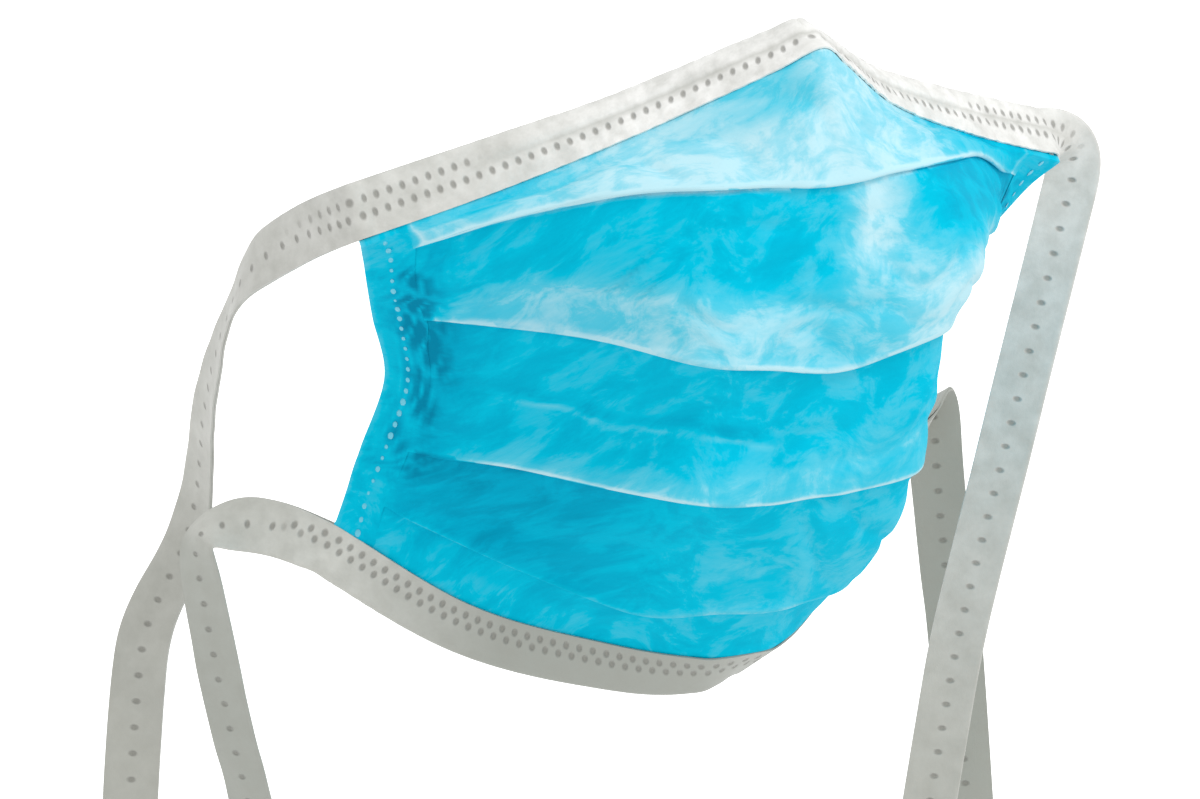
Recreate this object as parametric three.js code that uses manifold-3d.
// A pleated surgical face mask with four tie ends, in the shape that it takes on a face.
// Millimetres. The wearer looks along -Y, the wearer's left is +X and up is +Z.
// The origin is the inner face of the top binding at the bridge of the nose.
import * as THREE from 'three';
import Module from 'manifold-3d';

const wasm = await Module();
wasm.setup();

// Sizes of the pleated panel
const panelWidth = 165;       // between its top corners, along X
const panelDrop = 130;        // from the top seam at the nose to the bottom seam under the chin
const panelDepth = 80;        // from the bridge of the nose back to the bottom corners
const panelWall = 1;
const pleatGap = 0.4;         // air between the layers of a pleat

// Sizes of the tapes that bind the panel and run on as ties
const tapeWidth = 11.5;
const tapeWall = 1;           // one leaf of the folded tape
const seamGap = 0.3;          // between the panel and each leaf, and inside the tape's fold
const bendRoom = 1;           // the panel runs on this far out of the tape before it bends
const tieWall = 1.4;          // the two leaves welded flat
const tieReach = 40;          // how far the ties go outwards and back behind the corners
const topRightFall = 137;     // from each corner down to the tie's cut end
const topLeftFall = 155;
const bottomRightFall = 62;
const bottomLeftFall = 86;

// Smoothness
const columns = 40;           // across the panel
const panelRows = [0, 0.18, 0.36, 0.54, 0.72];   // shares of the way down each panel
const stepsPerStation = 2;    // along a tie
const lengthSteps = 100;      // down a column of the panel, to measure along it
const slopeStep = 0.01;       // across and down the surface, to take its slope
const riseShare = 0.7;        // of a panel, in which it comes out from behind the pleat above
const runOnFrom = 0.9;        // place across from which a binding runs on smoothly into its tie
const flatStation = 3;        // station past the corner by which a tie's two leaves lie flat

// Stations from the middle of the face to a side, as shares of half the panel's width of cloth
const stations = [
  { name: 'middle', at: 0 },
  { name: 'bridge', at: 0.1 },
  { name: 'cheek', at: 0.36 },
  { name: 'jaw', at: 0.68 },
  { name: 'side', at: 1 },
];

// A row for each seam and pleat, and for the fullest line of the deep panels between them.
// out is a share of half the panel's width, back of its depth and down of its drop.
const contour = [
  { row: 'top seam', at: 0,
    middle: { out: 0, back: 0, down: 0 }, bridge: { out: 0.085, back: 0.05, down: 0.032 },
    cheek: { out: 0.365, back: 0.28, down: 0.145 }, jaw: { out: 0.67, back: 0.42, down: 0.228 },
    side: { out: 1, back: 0.54, down: 0.298 } },
  { row: 'first pleat', at: 1,
    middle: { out: 0, back: -0.062, down: 0.198 }, bridge: { out: 0.11, back: -0.055, down: 0.198 },
    cheek: { out: 0.33, back: 0.02, down: 0.198 }, jaw: { out: 0.64, back: 0.32, down: 0.245 },
    side: { out: 0.953, back: 0.61, down: 0.341 } },
  { row: 'second panel', at: 1.5,
    middle: { out: 0, back: -0.062, down: 0.35 }, bridge: { out: 0.11, back: -0.06, down: 0.35 },
    cheek: { out: 0.405, back: -0.01, down: 0.35 }, jaw: { out: 0.64, back: 0.34, down: 0.358 },
    side: { out: 0.908, back: 0.67, down: 0.393 } },
  { row: 'second pleat', at: 2,
    middle: { out: 0, back: -0.025, down: 0.5 }, bridge: { out: 0.11, back: -0.025, down: 0.493 },
    cheek: { out: 0.355, back: 0, down: 0.463 }, jaw: { out: 0.56, back: 0.4, down: 0.446 },
    side: { out: 0.866, back: 0.725, down: 0.443 } },
  { row: 'third panel', at: 2.5,
    middle: { out: 0, back: 0.037, down: 0.631 }, bridge: { out: 0.11, back: 0.044, down: 0.627 },
    cheek: { out: 0.35, back: 0.087, down: 0.604 }, jaw: { out: 0.55, back: 0.48, down: 0.581 },
    side: { out: 0.779, back: 0.825, down: 0.555 } },
  { row: 'third pleat', at: 3,
    middle: { out: 0, back: 0.062, down: 0.715 }, bridge: { out: 0.11, back: 0.075, down: 0.717 },
    cheek: { out: 0.35, back: 0.125, down: 0.7 }, jaw: { out: 0.55, back: 0.56, down: 0.688 },
    side: { out: 0.784, back: 0.94, down: 0.68 } },
  { row: 'fourth panel', at: 3.5,
    middle: { out: 0, back: 0.16, down: 0.825 }, bridge: { out: 0.11, back: 0.175, down: 0.825 },
    cheek: { out: 0.35, back: 0.245, down: 0.812 }, jaw: { out: 0.56, back: 0.64, down: 0.76 },
    side: { out: 0.789, back: 0.97, down: 0.717 } },
  { row: 'fourth pleat', at: 4,
    middle: { out: 0, back: 0.27, down: 0.922 }, bridge: { out: 0.1, back: 0.3, down: 0.922 },
    cheek: { out: 0.325, back: 0.42, down: 0.915 }, jaw: { out: 0.57, back: 0.75, down: 0.84 },
    side: { out: 0.802, back: 0.985, down: 0.755 } },
  { row: 'bottom seam', at: 5,
    middle: { out: 0, back: 0.37, down: 1 }, bridge: { out: 0.1, back: 0.41, down: 1 },
    cheek: { out: 0.29, back: 0.55, down: 0.981 }, jaw: { out: 0.55, back: 0.79, down: 0.93 },
    side: { out: 0.825, back: 1, down: 0.805 } },
];
const lastRow = contour[contour.length - 1].at;

// How far each pleat doubles back, as shares of the panel above it, in the middle and at a side
const pleats = [
  { at: 1, middle: 0.05, side: 0.5 },
  { at: 2, middle: 0.04, side: 0.5 },
  { at: 3, middle: 0.05, side: 0.28 },
  { at: 4, middle: 0.04, side: 0.36 },
];

// How far each binding leans back from upright, in degrees, on the wearer's right and left
const topLean = [
  { station: 'middle', right: 72, left: 72 },
  { station: 'bridge', right: 68, left: 68 },
  { station: 'cheek', right: 54, left: 54 },
  { station: 'jaw', right: 30, left: 44 },
  { station: 'side', right: 14, left: 40 },
];
const bottomLean = [
  { station: 'middle', right: 66, left: 66 },
  { station: 'bridge', right: 50, left: 78 },
  { station: 'cheek', right: 24, left: 84 },
  { station: 'jaw', right: 10, left: 66 },
  { station: 'side', right: 5, left: 34 },
];

// The ties, a row for each place along them, from the corner to the cut end.
// out and back are shares of tieReach and down of the tie's own fall, from the corner.
// swing is the way that the tape's folded edge points, in degrees from outwards to backwards,
// and rise is how far that edge points up.
const topRightTie = [
  { out: 0.068, back: 0.325, down: 0.042, swing: 120, rise: 88 },
  { out: 0.128, back: 0.575, down: 0.087, swing: 120, rise: 75 },
  { out: 0.178, back: 0.75, down: 0.13, swing: 120, rise: 40 },
  { out: 0.184, back: 0.9, down: 0.183, swing: 116, rise: 5 },
  { out: 0.172, back: 1.075, down: 0.253, swing: 108, rise: 0 },
  { out: 0.094, back: 1.35, down: 0.364, swing: 102, rise: 0 },
  { out: 0.011, back: 1.6, down: 0.505, swing: 92, rise: 0 },
  { out: 0.041, back: 1.675, down: 0.601, swing: 66, rise: 0 },
  { out: 0.152, back: 1.7, down: 0.661, swing: 54, rise: 0 },
  { out: 0.268, back: 1.7, down: 0.719, swing: 47, rise: 0 },
  { out: 0.324, back: 1.675, down: 0.777, swing: 42, rise: 0 },
  { out: 0.392, back: 1.625, down: 0.896, swing: 36, rise: 0 },
  { out: 0.443, back: 1.575, down: 1, swing: 33, rise: 0 },
];
const topLeftTie = [
  { out: 0.21, back: 0.118, down: 0.025, swing: -30, rise: 45 },
  { out: 0.28, back: 0.168, down: 0.057, swing: -30, rise: 8 },
  { out: 0.26, back: 0.193, down: 0.087, swing: -30, rise: 0 },
  { out: 0.216, back: 0.218, down: 0.142, swing: -30, rise: 0 },
  { out: 0.128, back: 0.268, down: 0.252, swing: -30, rise: 0 },
  { out: 0.056, back: 0.343, down: 0.365, swing: -30, rise: 0 },
  { out: 0, back: 0.443, down: 0.479, swing: -30, rise: 0 },
  { out: -0.073, back: 0.568, down: 0.623, swing: -30, rise: 0 },
  { out: -0.126, back: 0.668, down: 0.739, swing: -30, rise: 0 },
  { out: -0.163, back: 0.743, down: 0.854, swing: -30, rise: 0 },
  { out: -0.218, back: 0.818, down: 1, swing: -30, rise: 0 },
];
const bottomRightTie = [
  { out: 0.16, back: 0.099, down: -0.05, swing: 300, rise: -84 },
  { out: 0.24, back: 0.187, down: -0.066, swing: 300, rise: -76 },
  { out: 0.328, back: 0.262, down: -0.071, swing: 300, rise: -60 },
  { out: 0.406, back: 0.312, down: -0.064, swing: 298, rise: -40 },
  { out: 0.479, back: 0.349, down: -0.051, swing: 295, rise: -16 },
  { out: 0.548, back: 0.362, down: -0.039, swing: 285, rise: -3 },
  { out: 0.56, back: 0.362, down: -0.006, swing: 263, rise: 0 },
  { out: 0.532, back: 0.349, down: 0.059, swing: 258, rise: 0 },
  { out: 0.501, back: 0.324, down: 0.194, swing: 253, rise: 0 },
  { out: 0.458, back: 0.299, down: 0.365, swing: 249, rise: 0 },
  { out: 0.387, back: 0.274, down: 0.606, swing: 247, rise: 0 },
  { out: 0.314, back: 0.262, down: 0.799, swing: 247, rise: 0 },
  { out: 0.241, back: 0.249, down: 1, swing: 247, rise: 0 },
];
const bottomLeftTie = [
  { out: 0.28, back: 0.193, down: -0.027, swing: 150, rise: -70 },
  { out: 0.371, back: 0.343, down: -0.084, swing: 150, rise: -50 },
  { out: 0.447, back: 0.418, down: -0.118, swing: 150, rise: -20 },
  { out: 0.494, back: 0.443, down: -0.08, swing: 150, rise: -3 },
  { out: 0.493, back: 0.418, down: 0.031, swing: 150, rise: 0 },
  { out: 0.498, back: 0.393, down: 0.13, swing: 140, rise: 0 },
  { out: 0.536, back: 0.368, down: 0.333, swing: 140, rise: 0 },
  { out: 0.573, back: 0.343, down: 0.486, swing: 145, rise: 0 },
  { out: 0.606, back: 0.343, down: 0.641, swing: 150, rise: 0 },
  { out: 0.634, back: 0.343, down: 0.796, swing: 150, rise: 0 },
  { out: 0.669, back: 0.343, down: 1, swing: 150, rise: 0 },
];

// Worked out from the sizes
const layerPitch = panelWall + pleatGap;
const bindingThickness = panelWall + 2 * (seamGap + tapeWall);
const cover = bendRoom + tapeWidth - tapeWall - seamGap;   // how far the panel runs into a binding
const seatDepth = bindingThickness / 2;                    // from the panel's middle to its seat

const vector = (x, y, z) => new THREE.Vector3(x, y, z);
const between = (a, b, share) => a.clone().lerp(b, share);
const squareTo = (direction, along) =>
  direction.clone().addScaledVector(along, -direction.dot(along)).normalize();

// A smooth curve through points that stand at rising keys, with the slope of its neighbours at each
function smooth(keys, points, key) {
  const last = keys.length - 1;
  let i = 0;
  while (i < last - 1 && key > keys[i + 1]) i += 1;
  const slope = (k) => {
    const before = Math.max(k - 1, 0);
    const after = Math.min(k + 1, last);
    return points[after].clone().sub(points[before]).divideScalar(keys[after] - keys[before]);
  };
  const span = keys[i + 1] - keys[i];
  const s = (key - keys[i]) / span;
  return points[i].clone().multiplyScalar(2 * s ** 3 - 3 * s ** 2 + 1)
    .addScaledVector(slope(i), (s ** 3 - 2 * s ** 2 + s) * span)
    .addScaledVector(points[i + 1], -2 * s ** 3 + 3 * s ** 2)
    .addScaledVector(slope(i + 1), (s ** 3 - s ** 2) * span);
}

// The contour's row at a place across the face, from -1 at the wearer's right to 1 at the left
const toSides = stations.slice(1).reverse();
const across = [...toSides.map(({ at }) => -at), ...stations.map(({ at }) => at)];
const rowPoints = contour.map((row) => {
  const place = (name, side) => vector(side * row[name].out * panelWidth / 2,
    row[name].back * panelDepth, -row[name].down * panelDrop);
  return [...toSides.map(({ name }) => place(name, -1)), ...stations.map(({ name }) => place(name, 1))];
});
const rowKeys = contour.map((row) => row.at);

function surface(u, w) {
  return smooth(rowKeys, rowPoints.map((points) => smooth(across, points, u)), w);
}

// A binding's lean at a place across the face, between the rows of its table
function leanAt(lean, u) {
  const wearers = u < 0 ? 'right' : 'left';
  const place = Math.abs(u);
  const i = Math.max(stations.findIndex(({ at }) => place <= at), 1);
  const share = (place - stations[i - 1].at) / (stations[i].at - stations[i - 1].at);
  return lean[i - 1][wearers] + share * (lean[i][wearers] - lean[i - 1][wearers]);
}

// The frame of a binding at a place across: along the seam, from the seam to the folded edge, and outwards
function bindingFrame(binding, u) {
  const along = surface(Math.min(u + slopeStep, 1), binding.at)
    .sub(surface(Math.max(u - slopeStep, -1), binding.at)).normalize();
  const lean = THREE.MathUtils.degToRad(leanAt(binding.lean, u));
  const wide = squareTo(vector(0, Math.sin(lean), binding.up * Math.cos(lean)), along);
  const face = wide.clone().cross(along).multiplyScalar(-binding.up);
  return { seam: surface(u, binding.at), along, wide, face };
}
const topBinding = { at: 0, up: 1, lean: topLean };
const bottomBinding = { at: lastRow, up: -1, lean: bottomLean };

// The outward direction of the surface
function surfaceFace(u, w) {
  const downwards = surface(u, Math.min(w + slopeStep, lastRow))
    .sub(surface(u, Math.max(w - slopeStep, 0)));
  const leftwards = surface(Math.min(u + slopeStep, 1), w).sub(surface(Math.max(u - slopeStep, -1), w));
  return downwards.cross(leftwards).normalize();
}

// The lengths down one column of the surface, to turn a length into a place on it
function columnLengths(u) {
  const lengths = [0];
  let last = surface(u, 0);
  for (let i = 1; i <= lengthSteps; i += 1) {
    const next = surface(u, lastRow * i / lengthSteps);
    lengths.push(lengths[i - 1] + next.distanceTo(last));
    last = next;
  }
  const lengthAt = (w) => lengths[Math.round(w / lastRow * lengthSteps)];
  const rowAt = (length) => {
    let i = 1;
    while (i < lengthSteps && lengths[i] < length) i += 1;
    const share = (length - lengths[i - 1]) / (lengths[i] - lengths[i - 1]);
    return lastRow * (i - 1 + share) / lengthSteps;
  };
  return { lengthAt, rowAt, total: lengths[lengthSteps] };
}

// The folded middle line of the cloth down one column: length along the surface, depth behind it
function foldedLine(u, column) {
  const line = [{ length: -cover, depth: 0 }];
  let start = 0;
  let behind = 0;
  pleats.forEach((pleat) => {
    const ridge = column.lengthAt(pleat.at);
    const share = pleat.middle + (pleat.side - pleat.middle) * u * u;
    const lap = share * (ridge - column.lengthAt(pleat.at - 1));
    addPanel(line, start, ridge, ridge - lap - panelWall, behind);
    line.push({ length: ridge, depth: 0 }, { length: ridge, depth: layerPitch });
    line.push({ length: ridge - lap, depth: layerPitch }, { length: ridge - lap, depth: 2 * layerPitch });
    start = ridge + panelWall / 2;
    behind = 2 * layerPitch;
  });
  addPanel(line, start, column.total, column.total, behind);
  line.push({ length: column.total, depth: 0 }, { length: column.total + cover, depth: 0 });
  return line;
}

// One panel: it comes out from behind the pleat above and rises to the surface
function addPanel(line, start, end, flatFrom, behind) {
  const riseEnd = Math.min(flatFrom - start, riseShare * (end - start));
  panelRows.forEach((share) => {
    const along = share * (end - start);
    const s = THREE.MathUtils.clamp(along / riseEnd, 0, 1);
    line.push({ length: start + along, depth: behind * (1 - s * s * (3 - 2 * s)) });
  });
}

// The two faces of a wall along a line in the plane of length and depth, with square corners kept
function bothFaces(line, wall) {
  const unit = (from, to) => {
    const size = Math.hypot(to.length - from.length, to.depth - from.depth);
    return { length: (to.length - from.length) / size, depth: (to.depth - from.depth) / size };
  };
  return line.map((point, i) => {
    const into = unit(line[Math.max(i - 1, 0)], line[Math.max(i, 1)]);
    const out = unit(line[Math.min(i, line.length - 2)], line[Math.min(i + 1, line.length - 1)]);
    const corner = 1 + into.length * out.length + into.depth * out.depth;
    const shift = { length: (into.depth + out.depth) / corner, depth: -(into.length + out.length) / corner };
    const side = (sign) => ({ length: point.length + sign * wall / 2 * shift.length,
      depth: point.depth + sign * wall / 2 * shift.depth });
    return { front: side(1), back: side(-1) };
  });
}

// The place in space of a length down a column and a depth behind the surface
function onColumn(u, column, { length, depth }) {
  if (length <= 0) {
    const { seam, wide, face } = bindingFrame(topBinding, u);
    return seam.addScaledVector(wide, -length).addScaledVector(face, -depth);
  }
  if (length >= column.total) {
    const { seam, wide, face } = bindingFrame(bottomBinding, u);
    return seam.addScaledVector(wide, length - column.total).addScaledVector(face, -depth);
  }
  const w = column.rowAt(length);
  return surface(u, w).addScaledVector(surfaceFace(u, w), -depth);
}

// A closed skin over rings of points, with both ends capped; each cap is a fan or a strip
function closedSkin(rings, cap) {
  const size = rings[0].length;
  const positions = rings.flat().flatMap((point) => point.toArray());
  const faces = [];
  for (let ring = 0; ring < rings.length - 1; ring += 1) {
    for (let i = 0; i < size; i += 1) {
      const a = ring * size + i;
      const b = ring * size + (i + 1) % size;
      faces.push(a, b, b + size, a, b + size, a + size);
    }
  }
  const end = (rings.length - 1) * size;
  cap.forEach(([a, b, c]) => faces.push(c, b, a, end + a, end + b, end + c));
  const geometry = new THREE.BufferGeometry();
  geometry.setAttribute('position', new THREE.Float32BufferAttribute(positions, 3));
  geometry.setIndex(faces);
  return geometry;
}

// The pleated panel: the folded wall of each column is one ring, and the side edges cap the ends
function pleatedPanel() {
  const rings = [];
  let rows = 0;
  for (let i = 0; i <= columns; i += 1) {
    const u = -1 + 2 * i / columns;
    const column = columnLengths(u);
    const walls = bothFaces(foldedLine(u, column), panelWall);
    rows = walls.length;
    rings.push([...walls.map(({ front }) => onColumn(u, column, front)),
      ...walls.map(({ back }) => onColumn(u, column, back)).reverse()]);
  }
  const cap = [];
  for (let i = 0; i < rows - 1; i += 1) {
    const facing = 2 * rows - 1 - i;
    cap.push([i, i + 1, facing - 1], [i, facing - 1, facing]);
  }
  return closedSkin(rings, cap);
}

// A flat strip through stations, each with its middle, its width and its thickness as vectors
function strip(places) {
  const rings = places.map(({ middle, wide, thick }) => [[-1, -1], [1, -1], [1, 1], [-1, 1]]
    .map(([w, t]) => middle.clone().addScaledVector(wide, w / 2).addScaledVector(thick, t / 2)));
  return closedSkin(rings, [[0, 1, 2], [0, 2, 3]]);
}

// The stations of one tie, from just past the corner to its cut end
function tiePlaces(binding, side, rows, fall) {
  const { seam, wide } = bindingFrame(binding, side);
  const corner = seam.clone().addScaledVector(wide, bendRoom + tapeWidth / 2);
  const inner = bindingFrame(binding, side * runOnFrom);
  const before = inner.seam.addScaledVector(inner.wide, bendRoom + tapeWidth / 2);
  const middles = rows.map(({ out, back, down }) => corner.clone()
    .add(vector(side * out * tieReach, back * tieReach, -down * fall)));
  const edges = rows.map(({ swing, rise }) => {
    const turn = THREE.MathUtils.degToRad(swing);
    const lift = THREE.MathUtils.degToRad(rise);
    return vector(side * Math.cos(lift) * Math.cos(turn), Math.cos(lift) * Math.sin(turn), Math.sin(lift));
  });
  const curve = new THREE.CatmullRomCurve3([before, corner, ...middles], false, 'centripetal');
  const directions = [wide, wide, ...edges];
  const spans = directions.length - 1;
  const places = [];
  for (let i = stepsPerStation + 1; i <= spans * stepsPerStation; i += 1) {
    const at = i / stepsPerStation;
    const t = at / spans;
    const from = Math.min(Math.floor(at), spans - 1);
    const along = curve.getTangent(t).multiplyScalar(side);
    const across = squareTo(between(directions[from], directions[from + 1], at - from), along);
    const flatten = THREE.MathUtils.smoothstep(at, 1, flatStation);
    const thickness = bindingThickness + (tieWall - bindingThickness) * flatten;
    places.push({ middle: curve.getPoint(t), wide: across.clone().multiplyScalar(tapeWidth),
      thick: along.clone().cross(across).multiplyScalar(thickness) });
  }
  return places;
}

// The stations of a binding, or of the slot in it that takes the panel's edge
function bindingPlaces(binding, from, to, thickness, overrun) {
  const places = [];
  for (let i = 0; i <= columns; i += 1) {
    const { seam, along, wide } = bindingFrame(binding, -1 + 2 * i / columns);
    const beyond = i === 0 ? -overrun : i === columns ? overrun : 0;
    places.push({ middle: seam.addScaledVector(wide, (from + to) / 2).addScaledVector(along, beyond),
      wide: wide.clone().multiplyScalar(to - from),
      thick: along.clone().cross(wide).multiplyScalar(thickness) });
  }
  return places;
}

// A geometry as a solid that can be cut, and back
function toSolid(geometry) {
  return new wasm.Manifold(new wasm.Mesh({ numProp: 3,
    vertProperties: new Float32Array(geometry.attributes.position.array),
    triVerts: new Uint32Array(geometry.index.array) }));
}
function toGeometry(solid) {
  const mesh = solid.getMesh();
  const geometry = new THREE.BufferGeometry();
  geometry.setAttribute('position', new THREE.BufferAttribute(mesh.vertProperties, 3));
  geometry.setIndex(new THREE.BufferAttribute(mesh.triVerts, 1));
  return geometry;
}

// One tape: a tie, the folded stretch along the panel's edge with its slot, and the other tie
function boundTape(binding, rightTie, leftTie) {
  const tape = strip([...tiePlaces(binding, -1, rightTie.rows, rightTie.fall).reverse(),
    ...bindingPlaces(binding, bendRoom, bendRoom + tapeWidth, bindingThickness, 2 * seamGap),
    ...tiePlaces(binding, 1, leftTie.rows, leftTie.fall)]);
  const slot = strip(bindingPlaces(binding, -bendRoom, cover + seamGap,
    panelWall + 2 * seamGap, seamGap));
  return toGeometry(toSolid(tape).subtract(toSolid(slot)));
}

function piece(name, geometry, color) {
  const mesh = new THREE.Mesh(geometry, new THREE.MeshStandardMaterial({ color, roughness: 0.8, metalness: 0 }));
  mesh.name = name;
  return mesh;
}

const mask = new THREE.Group();
mask.position.y = -seatDepth;
mask.add(piece('pleated_panel', pleatedPanel(), 0x12b4d8));
mask.add(piece('top_tape', boundTape(topBinding, { rows: topRightTie, fall: topRightFall },
  { rows: topLeftTie, fall: topLeftFall }), 0xe8e7e2));
mask.add(piece('bottom_tape', boundTape(bottomBinding, { rows: bottomRightTie, fall: bottomRightFall },
  { rows: bottomLeftTie, fall: bottomLeftFall }), 0xc9c6bd));

export default mask;
